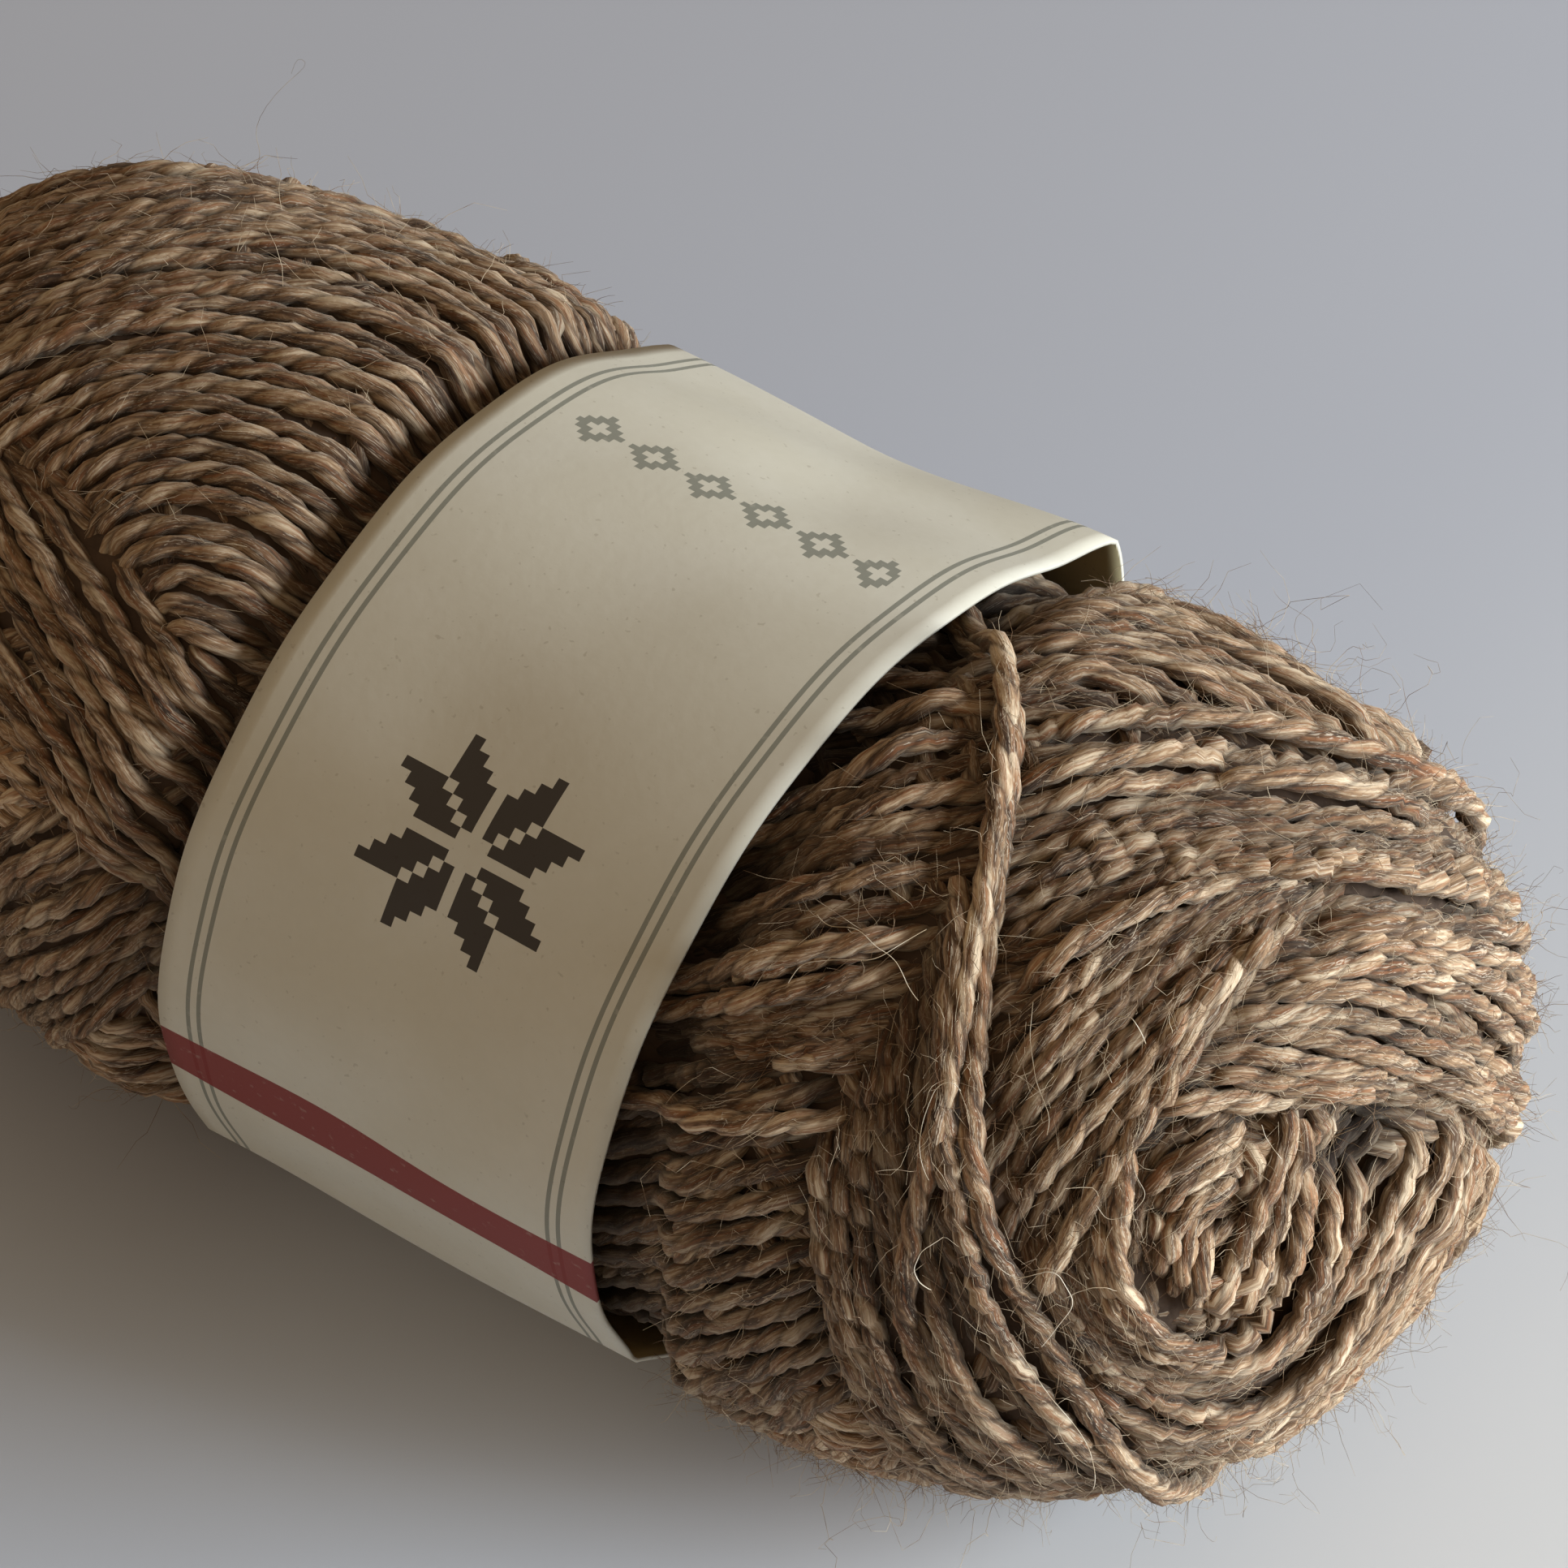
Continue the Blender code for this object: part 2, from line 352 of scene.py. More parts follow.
# winding: a strand bends every knotGap; it comes up or goes down over tuckLength
strand = dict(radius=0.00076, step=0.00048, advance=270, straight=0.076, bed=0.85, wander=0.00022, wanderWidth=21,
              knotGap=0.011, knotsBeyond=0.02, spanRounds=10, spanWidth=11, spanShare=0.65, evenWidth=7, shownShare=0.95,
              rise=0.0014, tuck=0.0018, tuckLength=0.0035, nestle=0.0008, nestleLength=0.012)
# the winding's own axis leans across the ball's: how far the pole is moved at the near end, old turns and new turns
poleOld = dict(y=-0.0156, z=0.0099, powerY=2.7, powerZ=1.9)
poleNew = dict(y=-0.0118, z=0.0139, powerY=2.8, powerZ=2.8)
# newest turn last: the angle where it turns at the near end, how near it comes to the pole in mm,
# how far it has gone over to the new pole
inner = dict(turns=((420, 3.0, 0), (330, 4.5, 0), (230, 7, 0), (124, 10, 0.3)), step=3.4)
outer = dict(turns=((123, 7, 0.6), (98, 14.5, 1), (59, 20, 1), (35, 21.4, 1), (10, 22.2, 1), (-14, 21.8, 1)), step=2.2)
uneven = dict(angle=0.6, turn=0.00025, leastTurn=0.002)


def halfPass(turn, count=240):
    # a tight strand from its turn at the near end to its turn at the far end: length along the surface, angle gone round
    turnLength = np.interp(-turn, -tableRadius, tableLength)
    share = np.linspace(0, 1, count)
    along = turnLength*(1-share**2)
    radius = np.interp(along, tableLength, tableRadius)
    rate = 2*turnLength*share*turn/(radius*np.sqrt(np.maximum(radius**2-turn**2, 1e-12)))
    rate[0] = rate[1]
    gone = summed((rate[1:]+rate[:-1])/2*np.diff(share))
    along = np.concatenate((along, -along[::-1][1:]))
    gone = np.concatenate((gone, 2*gone[-1]-gone[::-1][1:]))
    return along, gone+(strand['advance']*degree-gone[-1])*np.clip(0.5-along/strand['straight'], 0, 1)


def onSkin(p):
    # moved in or out, towards the middle of the ball, until it lies on the barrel
    across = fromAxis(p)
    scale = np.ones(len(p))
    for _ in range(20):
        a = (np.abs(p[:, 0])*scale/ball['halfLength'])**ball['shoulderPower']
        b = (across*scale/ball['radius'])**ball['endPower']
        scale -= (a+b-1)*scale/(ball['shoulderPower']*a+ball['endPower']*b)
    return p*scale[:, None]


def onBarrel(along, angle, newShare):
    x, radius = skinAt(along)
    share = np.abs(x)/ball['halfLength']
    y, z = radius*np.cos(angle), radius*np.sin(angle)
    for pole, part in ((poleOld, 1-newShare), (poleNew, newShare)):
        y = y+part*pole['y']*np.sign(x)*share**pole['powerY']
        z = z+part*pole['z']*np.sign(x)*share**pole['powerZ']
    return onSkin(np.column_stack((x, y, z)))


# even samples of the surface, in rings, keep how high the yarn already lies
sampleGap = 0.0006
ringCount = 2*int(poleLength/sampleGap)
ringStep = 2*poleLength/ringCount
ringX, ringRadius = skinAt((np.arange(ringCount)-(ringCount-1)/2)*ringStep)
ringPoints = np.maximum(3, np.round(2*math.pi*ringRadius/ringStep).astype(int))
ringStart = summed(ringPoints)
sampleRing = np.repeat(np.arange(ringCount), ringPoints)
sampleTurn = (np.arange(ringStart[-1])-ringStart[sampleRing])/ringPoints[sampleRing]
samplePlace = wrapped(ringX[sampleRing], ringRadius[sampleRing], sampleTurn*2*math.pi)


def sampleAt(ring, turn):
    ring = np.clip(ring, 0, ringCount-1)
    return ringStart[ring]+np.mod(np.round(turn*ringPoints[ring]).astype(int), ringPoints[ring])


def nearestSample(p):
    across = fromAxis(p)
    fromX = np.interp(np.abs(p[:, 0]), tableX, tableLength)
    fromRadius = np.interp(-across, -tableRadius, tableLength)      # exacter near the poles
    along = np.sign(p[:, 0])*np.where(across < 0.8*ball['radius'], fromRadius, fromX)
    return sampleAt(np.round(along/ringStep+(ringCount-1)/2).astype(int), np.arctan2(p[:, 2], p[:, 1])/(2*math.pi))


reach = range(-2, 3)
neighbours = np.column_stack([sampleAt(sampleRing+r, sampleTurn+t/ringPoints[np.clip(sampleRing+r, 0, ringCount-1)])
                              for r in reach for t in reach])


def evened(values, rounds):
    for _ in range(rounds):
        values = values[neighbours].mean(axis=1)
    return values


class Winding:
    def __init__(self, seed):
        self.height = np.zeros(len(samplePlace))
        self.owner = -np.ones(len(samplePlace), int)
        self.strands = []
        self.chance = np.random.default_rng(seed)
        self.length = 0.0

    def around(self, p, near):
        # samples round each point, and how far away they are, squared
        around = neighbours[near]
        return around, ((samplePlace[around]-p[:, None])**2).sum(axis=2)

    def lay(self, p, under=False, tucked=False, nestle=None, shade=0.0):
        s = strand
        gone = lengthAlong(p)
        even = np.arange(0, gone[-1], s['step'])
        p = pointsAt(even, gone, p)
        side = np.cross(outward(p), unit(np.gradient(p, axis=0)))
        knots = np.arange(0, even[-1]+s['knotsBeyond'], s['knotGap'])
        bends = np.interp(even, knots, self.chance.normal(0, s['wander'], len(knots)))
        p = p+side*smoothAlong(bends, s['wanderWidth'])[:, None]
        near = nearestSample(p)
        around, away = self.around(p, near)
        dome = np.sqrt(np.maximum(s['radius']**2-away, 0))
        hit = dome > 0
        height = np.where(hit, self.height[around]+dome*s['bed'], -1).max(axis=1)
        for _ in range(s['spanRounds']):       # a tight strand spans the dips
            spanned = np.maximum(height, smoothAlong(height, s['spanWidth']))
            height = (1-s['spanShare'])*height+s['spanShare']*spanned
        height = smoothAlong(height, s['evenWidth'])
        if under:         # it comes up from under the others
            height = height-s['rise']*(1-smoothStep(even/s['tuckLength']))
        if tucked:        # and goes down again
            height = height-s['tuck']*(1-smoothStep((even[-1]-even)/s['tuckLength']))
        if nestle:        # and lies among them
            height = height-s['nestle']*smoothStep((even-nestle)/s['nestleLength'])
        top = np.full(len(samplePlace), -1.0)
        np.maximum.at(top, around[hit], (height[:, None]+dome)[hit])
        higher = top > self.height
        self.height[higher] = top[higher]
        self.owner[higher] = len(self.strands)
        self.strands.append(dict(p=p, height=height, near=near, gone=even+self.length, shade=shade))
        self.length += even[-1]

    def settle(self, rounds=6, keep=0.93):
        # the ball keeps its form: what piles up sinks back
        mean = evened(self.height, rounds)
        self.height = (self.height-mean)*keep
        for s in self.strands:
            s['height'] = (s['height']-mean[s['near']])*keep

    def wind(self, plan):
        angles, turns, shares = (np.array(column, float) for column in zip(*plan['turns']))
        now, count = angles[0], 0
        while now > angles[-1]:
            turn = np.interp(-now, -angles, turns)/1000+self.chance.normal(0, uneven['turn'])
            newShare = np.interp(-now, -angles, shares)
            along, gone = halfPass(max(turn, uneven['leastTurn']))
            out = (now+180*(count % 2)+self.chance.normal(0, uneven['angle']))*degree
            self.lay(onBarrel(along, out+gone, newShare))
            back = (now+180*((count+1) % 2)-plan['step']+self.chance.normal(0, uneven['angle']))*degree
            self.lay(onBarrel(along[::-1], back-gone[::-1], newShare))
            now -= plan['step']
            count += 1
            if count % 2 == 0:
                self.settle()

    def shown(self):
        # for each strand, which of its points lie on top
        for k, s in enumerate(self.strands):
            around, away = self.around(s['p'], s['near'])
            yield ((self.owner[around] == k) & (away < (strand['shownShare']*strand['radius'])**2)).any(axis=1)


# the newest turns lie where the photograph shows them: guide strands in its pixels, one a line, oldest bundle first,
# each strand running on round the ball to the band, as a tight strand does
sideEdge = '''
800,1250 900,1230 1020,1210 1130,1190 1240,1150 1330,1110 1400,1075 1470,1058 1550,1062 1650,1078 1750,1090 1850,1100'''
# a bundle's shade is painted shade: its strands are coloured darker where they lie in the shade of the turns beside
# them
newest = dict(stride=0.0008, reach=150, pitch=0.00150, points=60, bundles=(
    dict(name='far low', shade=0.22, guides='''
5,1300 80,1272 160,1245
5,1215 90,1190 180,1160
5,1130 100,1095 215,1045
5,1042 60,1010 150,965 245,905'''),
    dict(name='far arm', shade=0.16, guides='''
5,860 50,930 80,985
5,740 50,815 95,890 120,955
5,640 60,740 110,830 155,925
5,560 60,650 120,750 180,850 215,915
5,500 70,590 140,690 200,780 245,885'''),
    dict(name='far top', under=True, shade=0.12, guides='''
-230,420 -100,300 40,240 250,215 450,245 600,300 740,392
-240,520 -100,400 60,325 200,296 350,305 500,355 640,445
-150,560 0,465 150,402 300,402 450,445 580,515
-10,590 70,525 150,484 280,492 420,552 510,605
70,640 120,592 180,562 280,572 380,622 440,665
105,690 150,650 210,635 300,652 380,712
150,735 185,710 230,702 300,730 350,772
185,785 215,772 250,784 310,822'''),
    dict(name='low side turns', pitch=0.00178, shade=0.38, guides='''
820,1745 900,1735 1000,1722 1100,1700
745,1650 850,1640 950,1625 1060,1605
740,1570 850,1555 950,1540 1060,1515
755,1500 850,1485 950,1470 1060,1445 1160,1420
770,1420 870,1402 1000,1385 1120,1355 1200,1310
785,1335 900,1310 1020,1295 1130,1265 1220,1215 1300,1165'''+sideEdge),
    dict(name='limb', guides='''
1650,1330 1715,1352 1775,1388 1815,1440
1750,1290 1795,1330 1830,1385 1828,1430
1780,1215 1830,1262 1850,1320 1848,1370
1780,1130 1840,1172 1872,1230 1880,1290'''),
    dict(name='heart', under=True, short=True, guides='''
1398,1600 1395,1540 1405,1480 1435,1430 1490,1395 1550,1368 1600,1352
1425,1630 1425,1560 1440,1500 1475,1455 1525,1435 1590,1420
1465,1640 1462,1580 1475,1530 1510,1500 1560,1487 1603,1468
1505,1645 1502,1605 1515,1572 1550,1550 1590,1525 1612,1495'''),
    dict(name='heart edge', short=True, count=2, guides='''
1640,1352 1628,1400 1605,1460 1588,1520 1562,1590 1543,1630
1655,1392 1645,1450 1625,1520 1598,1595 1572,1645'''),
    dict(name='low turns', ahead=3, guides='''
1235,1700 1300,1770 1380,1810 1480,1805 1590,1760 1680,1680 1750,1590 1805,1510 1855,1420 1888,1330
1240,1560 1250,1640 1300,1720 1380,1775 1480,1785 1590,1740 1670,1665 1735,1580 1785,1500 1832,1415 1868,1330
1300,1500 1285,1600 1325,1700 1410,1755 1510,1760 1600,1715 1670,1640 1720,1560 1765,1490 1808,1410 1838,1330
1360,1480 1335,1580 1360,1665 1430,1715 1520,1725 1600,1690 1655,1620 1695,1550 1725,1490 1745,1440
1385,1470 1370,1570 1395,1645 1450,1690 1520,1698 1590,1660 1635,1590 1660,1520 1668,1465'''),
    dict(name='right side', guides='''
1450,1370 1520,1362 1590,1368 1640,1362
1470,1325 1540,1325 1600,1338 1655,1345
1490,1288 1560,1288 1620,1302 1690,1318
1520,1240 1600,1238 1670,1240 1730,1255 1785,1285
1550,1190 1610,1190 1690,1182 1760,1205 1825,1240
1590,1140 1680,1138 1760,1155 1850,1185
1620,1108 1700,1112 1780,1125 1865,1145'''),
    dict(name='fan', under=True, guides='''
1255,1660 1285,1580 1345,1490 1390,1415 1440,1350 1490,1280 1535,1210 1590,1150 1660,1100
1200,1600 1240,1540 1300,1465 1365,1390 1430,1320 1490,1245 1545,1180 1610,1120 1680,1085
1165,1530 1215,1460 1280,1385 1350,1310 1420,1245 1500,1175 1565,1125 1640,1080
1160,1450 1215,1385 1280,1315 1350,1250 1420,1195 1500,1135 1590,1090
1170,1360 1220,1305 1290,1250 1360,1190 1430,1145 1510,1100 1600,1075
1180,1270 1225,1230 1295,1185 1360,1140 1430,1105 1500,1080 1600,1070'''),
    dict(name='near top', ahead=8, guides='''
1420,735 1510,775 1610,822 1700,880
1330,742 1450,782 1560,832 1660,893
1290,790 1400,812 1500,852 1590,900
1250,835 1330,832 1420,860 1510,905
1245,868 1300,872 1370,888 1440,915'''),
    dict(name='side turns', guides=sideEdge+'''
835,1165 950,1135 1060,1120 1150,1108 1250,1080 1340,1050 1430,1022 1520,1025 1650,1045 1750,1062 1850,1080
880,1085 980,1055 1080,1040 1160,1035 1250,1020 1340,995 1430,975 1530,980 1650,998 1750,1020 1850,1050
915,1025 1000,995 1100,975 1180,962 1250,955 1340,940 1430,925 1540,930 1650,945 1750,975 1840,1020
950,985 1040,950 1120,920 1200,903 1300,895 1400,888 1500,890 1600,905 1700,932 1790,975'''),
    dict(name='standing turns', under=True, count=8, shade=0.18, guides='''
1025,1365 1008,1450 1005,1560 1030,1670 1080,1760 1150,1820
1075,1290 1050,1390 1042,1500 1050,1610 1085,1710 1150,1790
1110,1200 1098,1290 1085,1400 1085,1510 1100,1610 1140,1710 1210,1790
1150,1090 1150,1200 1130,1310 1125,1420 1135,1530 1155,1630 1200,1720 1270,1790
1185,1060 1185,1180 1165,1300 1165,1420 1180,1530 1205,1630 1260,1720 1330,1790'''),
    dict(name='last turn', count=2, nestle=0.024, guides='''
1190,735 1225,800 1246,880 1240,960 1228,1060 1212,1160 1200,1260 1195,1370 1205,1480 1232,1590 1290,1700 1370,1790
1205,728 1238,800 1250,880 1244,960 1236,1040 1224,1120 1195,1210 1175,1300 1150,1390 1114,1480 1095,1560 1100,1640 1135,1720 1200,1790''')))


def pixelPaths(text):
    return [[[int(v) for v in pixel.split(',')] for pixel in line.split()] for line in text.splitlines() if line]


def underPixels(pixels):
    # where the photo camera's rays through these pixels meet the ball, or come nearest to it
    data = photoCamera.data
    turn = np.array(photoCamera.rotation_euler.to_matrix())
    eye = np.array(photoCamera.location)
    flat = (np.array(pixels, float)-photoSide/2)/photoSide*data.sensor_width
    ray = unit(np.column_stack((flat[:, 0], -flat[:, 1], np.full(len(flat), -data.lens)))@turn.T)

    def outside(gone):
        q = eye+ray*gone[:, None]
        p = 2*q-seat(q)
        shoulder = (np.abs(p[:, 0])/ball['halfLength'])**ball['shoulderPower']
        return shoulder+(fromAxis(p)/ball['radius'])**ball['endPower']-1, p

    tries = np.linspace(0.40, 0.60, 401)       # metres from the camera
    values = np.stack([outside(np.full(len(ray), t))[0] for t in tries])
    first = np.where((values < 0).any(axis=0), (values < 0).argmax(axis=0), values.argmin(axis=0))
    near, far = tries[np.maximum(first-1, 0)], tries[first]
    for _ in range(20):
        middle = (near+far)/2
        inside = outside(middle)[0] < 0
        near, far = np.where(inside, near, middle), np.where(inside, middle, far)
    return onSkin(outside(far)[1])


def evenPath(p, count):
    gone = lengthAlong(p)
    return pointsAt(np.linspace(0, gone[-1], count), gone, p)


def runOn(starts, directions, rule):
    # tight strands run straight on over the surface
    p, d, out = starts.copy(), directions.copy(), []
    for _ in range(rule['reach']):
        d = unit(d)
        p = onSkin(p+d*rule['stride'])
        n = outward(p)
        d -= n*(n*d).sum(axis=1, keepdims=True)
        out.append(p)
    return np.stack(out, axis=1)


def cutUnderBand(p, middle):
    # a strand ends where it has gone in under the band, on either side of its middle
    hidden = underBand(p, *band['cut']) > 0.5
    before, after = np.flatnonzero(hidden[:middle]), np.flatnonzero(hidden[middle:])
    return p[(before[-1] if len(before) else 0):(middle+after[0] if len(after) else len(p))]


def bundlePaths(bundle, rule):
    smooth = []
    for guide in pixelPaths(bundle['guides']):
        p = evenPath(underPixels(guide), rule['points'])
        smooth.append(evenPath(smoothPath(smoothPath(p)), rule['points']))
    smooth = np.array(smooth)
    # as many strands as lie side by side where the bundle is wide, evenly spaced from the first guide to the last
    along = unit(np.gradient((smooth[1:]+smooth[:-1])/2, axis=1))
    gap = smooth[1:]-smooth[:-1]
    apart = np.linalg.norm(gap-along*(gap*along).sum(axis=2, keepdims=True), axis=2)
    across = summed(apart.mean(axis=1))
    wide = np.percentile(apart.sum(axis=0), 80)
    count = bundle.get('count') or int(round(wide/bundle.get('pitch', rule['pitch'])))+1
    place = np.interp(np.linspace(0, across[-1], count), across, np.arange(len(smooth)))
    lower = np.minimum(place.astype(int), len(smooth)-2)
    part = (place-lower)[:, None, None]
    strands = smooth[lower]*(1-part)+smooth[lower+1]*part
    strands = onSkin(strands.reshape(-1, 3)).reshape(strands.shape)
    print(f"{bundle['name']}: {count} strands")
    if bundle.get('short'):
        return list(strands)
    onward = runOn(strands[:, -1], strands[:, -1]-strands[:, -4], rule)[:, :bundle.get('ahead', rule['reach'])]
    half = rule['points']//2
    if bundle.get('under'):
        return [cutUnderBand(np.vstack((s, o)), half) for s, o in zip(strands, onward)]
    before = runOn(strands[:, 0], strands[:, 0]-strands[:, 3], rule)
    return [cutUnderBand(np.vstack((b[::-1], s, o)), rule['reach']+half) for b, s, o in zip(before, strands, onward)]


winding = Winding(seed=4)
winding.wind(inner)
winding.wind(outer)
for bundle in newest['bundles']:
    for path in bundlePaths(bundle, newest):
        winding.lay(path, 'under' in bundle, 'short' in bundle or 'ahead' in bundle, bundle.get('nestle'),
                    bundle.get('shade', 0.0))
    winding.settle()
winding.settle(8, 1.0)
print(f"wound {winding.length:.1f} m of yarn in {len(winding.strands)} half passes")


# strands that show, as runs of points
terrace = dict(depth=0.0022, start=0.006, end=0.016, hole=0.0008, holeRadius=0.0030)
poleNear = onBarrel(np.array([poleLength]), np.array([0.0]), 0)[0]
# hollows between the bundles at the near end: photo pixel, depth, half width; a negative depth stands out
hollows = (((1520, 1535), 0.0006, 0.0026), ((1610, 1575), 0.0008, 0.0010), ((1728, 1425), 0.0040, 0.0032),
           ((1640, 1128), 0.0014, 0.0016), ((1600, 1400), 0.0016, 0.0013), ((1218, 1300), 0.0008, 0.0014),
           ((1226, 1380), 0.0010, 0.0014), ((1235, 1460), 0.0010, 0.0014), ((1250, 1540), 0.0008, 0.0014),
           ((1775, 1500), -0.0014, 0.0016), ((1110, 1450), -0.0005, 0.0035))
hollowPlaces = underPixels([h[0] for h in hollows])
# a run shows a few points more than lie on top, and its ends go down under the newer strands
run = dict(more=(1, 2, 3), least=5, lowest=-0.0010, highest=0.0006, lower=0.0003, endSink=0.0011, endPoints=4, floor=0.0006)
# how deep a strand lies in its neighbours' shade: in hollows, where it lies low, beside the band
inShade = dict(hollowFrom=0.0007, hollowOver=0.0024, hollowMost=0.9, lowFrom=0.0001, lowOver=0.0008,
               lowShare=0.45, bandMargin=0.0006, bandSlope=0.0042, bandShare=0.45)


def hollowAt(p):
    return sum(deep*bellRound(p, place, wide) for (pixel, deep, wide), place in zip(hollows, hollowPlaces))


def yarnPlace(p, height):
    # where a point of the barrel lies in the real ball, height above the even surface
    fromPole = np.linalg.norm(p-poleNear*np.where(p[:, :1] > 0, 1, -1), axis=1)
    sunk = terrace['depth']*(1-smoothStep((fromPole-terrace['start'])/(terrace['end']-terrace['start'])))
    sunk += terrace['hole']*bell(fromPole, terrace['holeRadius'])
    rise = height-sunk-hollowAt(p)
    fromSlack = angleFrom(np.arctan2(p[:, 2], p[:, 1]), waist['slackAngle'])
    covered = underBand(p, waist['margin']+waist['slack']*bell(fromSlack, waist['slackWidth']), waist['slope'])
    straight = straightX(p)
    bulge = (bell(straight-band['front']-waist['bulgeOffset'], waist['bulgeWidth'])
             + bell(straight-band['back']+waist['bulgeOffset'], waist['bulgeWidth']))
    q = p+outward(p)*(rise+waist['bulge']*bulge)[:, None]
    wide = fromAxis(q)
    pressed = waist['radius']-strand['radius']-waist['press']+np.clip(height, waist['pressLow'], waist['pressHigh'])
    wanted = wide+(np.minimum(pressed, wide)-wide)*covered
    q[:, 1:] *= (wanted/wide)[:, None]
    return seat(q)


# painted shade: how much darker a strand is coloured in hollows, where it lies low, beside the band, and by its
# bundle's shade
def paintedShadeOf(s):
    c = inShade
    deep = np.clip((hollowAt(s['p'])-c['hollowFrom'])/c['hollowOver'], 0, c['hollowMost'])
    deep += np.clip(-s['height']-c['lowFrom'], 0, c['lowOver'])/c['lowOver']*c['lowShare']
    return deep+(c['bandShare']*underBand(s['p'], c['bandMargin'], c['bandSlope'])+s['shade'])


def collectRuns(w):
    runs = []
    for s, shown in zip(w.strands, w.shown()):
        keep = shown & ~(underBand(s['p'], *band['hidden']) > 0.5)
        wide = keep.copy()
        for shift in run['more']:
            wide[shift:] |= keep[:-shift]
            wide[:-shift] |= keep[shift:]
        edges = np.flatnonzero(np.diff(np.concatenate(([0], wide.astype(int), [0]))))
        out = outward(s['p'])
        place = yarnPlace(s['p'], np.clip(s['height'], run['lowest'], run['highest'])-run['lower'])
        deep = paintedShadeOf(s)
        for first, last in zip(edges[::2], edges[1::2]):
            if last-first > run['least']:
                fromEnd = np.minimum(np.arange(last-first), np.arange(last-first)[::-1])
                ending = np.clip(1-fromEnd/run['endPoints'], 0, 1)
                sunk = place[first:last]-out[first:last]*(run['endSink']*ending)[:, None]
                sunk[:, 2] = np.maximum(sunk[:, 2], run['floor'])
                runs.append(dict(place=sunk, out=out[first:last], gone=s['gone'][first:last], deep=deep[first:last]))
    return runs


runs = collectRuns(winding)
total = sum(len(r['place']) for r in runs)
print(f"{len(runs)} runs show, {total*strand['step']:.1f} m")


def pointMesh(name, points, vectors, values):
    mesh = bpy.data.meshes.new(name)
    mesh.vertices.add(len(points))
    mesh.vertices.foreach_set('co', points.astype(np.float32).ravel())
    for kind, slot, named in (('FLOAT_VECTOR', 'vector', vectors), ('FLOAT', 'value', values)):
        for label, data in named.items():
            mesh.attributes.new(label, kind, 'POINT').data.foreach_set(slot, data.astype(np.float32).ravel())
    return mesh


# a mesh of bare edges carries the runs into the node tree that spins them into yarn
def runEdges(name, chosen, chance):
    place, out, gone, deep = (np.concatenate([r[key] for r in chosen]) for key in ('place', 'out', 'gone', 'deep'))
    sizes = np.array([len(r['place']) for r in chosen])
    first = np.delete(np.arange(len(place)), np.cumsum(sizes)-1)
    tone = np.repeat(chance.uniform(0, 1, len(chosen)), sizes)
    mesh = pointMesh(name, place, dict(out=out), dict(gone=gone, deep=deep, tone=tone))
    mesh.edges.add(len(first))
    mesh.edges.foreach_set('vertices', np.column_stack((first, first+1)).astype(np.int32).ravel())
    mesh.update()
    return linkNew(name, mesh)


class Shaper(NodeMaker):
    # a Geometry Nodes tree with named inputs, run once on an object and left as a plain mesh
    def __init__(self, name, sizes, material):
        super().__init__(bpy.data.node_groups.new(name, 'GeometryNodeTree'))
        self.sizes = dict(sizes, material=material)
        face = self.tree.interface
        face.new_socket('Geometry', in_out='INPUT', socket_type='NodeSocketGeometry')
        face.new_socket('Geometry', in_out='OUTPUT', socket_type='NodeSocketGeometry')
        self.keys = {}
        for label, value in self.sizes.items():
            kind = 'Material' if label == 'material' else 'Int' if isinstance(value, int) else 'Float'
            self.keys[label] = face.new_socket(label, in_out='INPUT', socket_type='NodeSocket'+kind).identifier
        self.entry = self.tree.nodes.new('NodeGroupInput')

    def size(self, label):
        return Wire(self, self.entry.outputs[label])

    def attribute(self, label, kind='FLOAT'):
        return self.node('GeometryNodeInputNamedAttribute', dict(data_type=kind), {'Name': label})

    def place(self):
        return self.node('GeometryNodeInputPosition')

    def moved(self, geometry, **how):
        return self.node('GeometryNodeSetPosition', values={'Geometry': geometry, **how})

    def tube(self, curve, profile, scale, caps):
        return self.node('GeometryNodeCurveToMesh', values={'Curve': curve, 'Profile Curve': profile, 'Scale': scale,
                                                            'Fill Caps': caps})

    def ring(self, sides, radius):
        return self.node('GeometryNodeCurvePrimitiveCircle', values={'Resolution': sides, 'Radius': radius})

    def shape(self, carrier, geometry, name):
        smooth = self.node('GeometryNodeSetShadeSmooth', values={'Geometry': geometry})
        real = self.node('GeometryNodeRealizeInstances', values={'Geometry': smooth})
        done = self.node('GeometryNodeSetMaterial', values={'Geometry': real, 'Material': self.size('material')})
        out = self.tree.nodes.new('NodeGroupOutput')
        self.tree.links.new(done.socket, out.inputs[0])
        maker = carrier.modifiers.new(name, 'NODES')
        maker.node_group = self.tree
        for label, value in self.sizes.items():
            maker[self.keys[label]] = value
        seen = carrier.evaluated_get(bpy.context.evaluated_depsgraph_get())
        mesh = bpy.data.meshes.new_from_object(seen)
        bpy.data.objects.remove(carrier)
        mesh.name = name
        print(f"{name}: {sum(len(p.vertices)-2 for p in mesh.polygons)} triangles")
        return linkNew(name, mesh)


# two plies twisted together; a negative twist leans as an S does
ply = dict(radius=0.00056, offset=0.00017, twistLength=-0.0046, unevenTwist=2.2, twistNoise=130.0, sides=8,
           thickAndThin=0.24, thickNoise=260.0, lumps=0.00022, lumpScale=1100.0)


